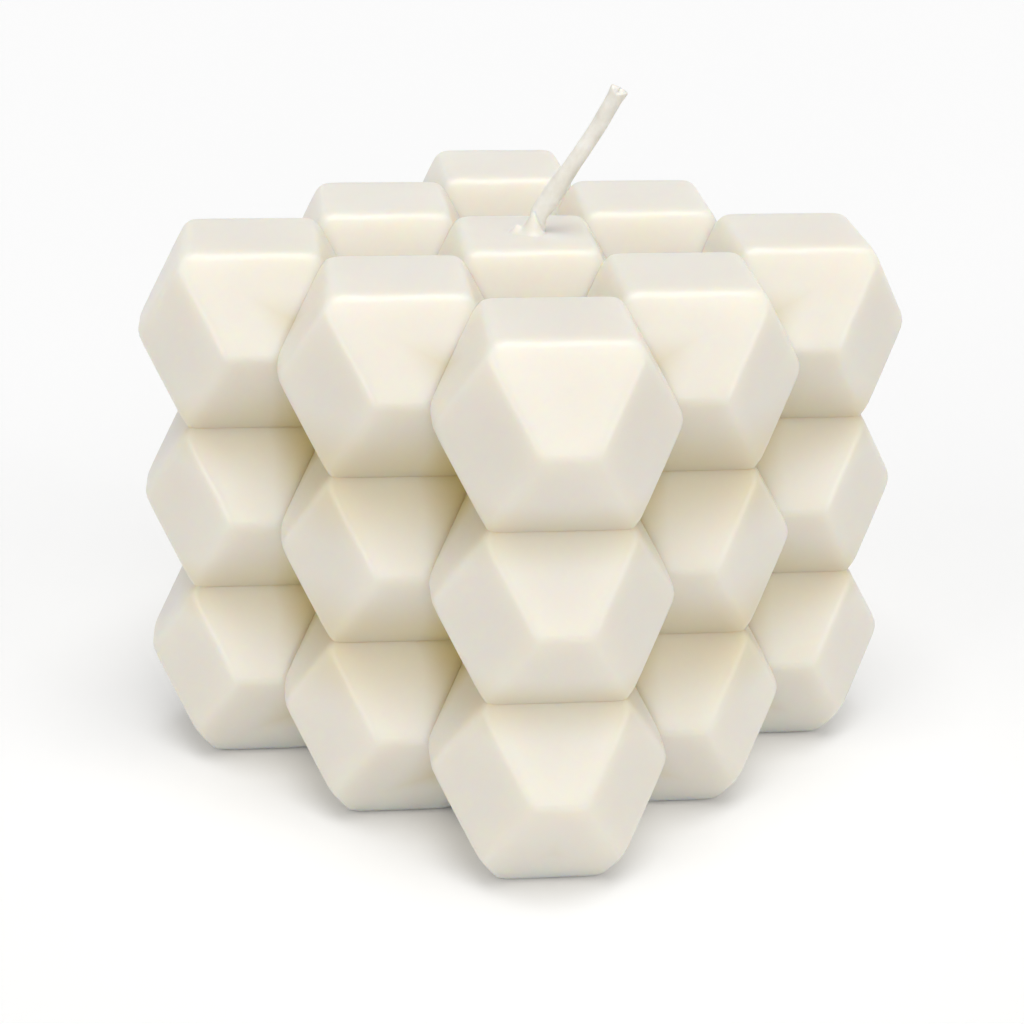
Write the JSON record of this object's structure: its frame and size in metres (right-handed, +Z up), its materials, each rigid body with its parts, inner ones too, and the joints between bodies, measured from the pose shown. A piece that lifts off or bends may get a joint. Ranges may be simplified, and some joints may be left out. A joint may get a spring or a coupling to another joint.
{
  "type": "decorative candle",
  "caption": "Moulded cube candle of fused faceted wax gems with a leaning cotton wick; it stands on its flat base and burns from the top",
  "frame": {"origin": "the middle of the base, on the surface the candle stands on", "axes": "+Z up, along the wick inside the wax; +X and +Y out of two neighbouring sides of the cube"},
  "size_m": [0.0648, 0.0648, 0.0776],
  "materials": {
    "wax": "satin",
    "wick": "waxed cotton"
  },
  "bodies": {
    "root": {"wax_body": "wax", "wick": "wick"}
  },
  "joints": []
}
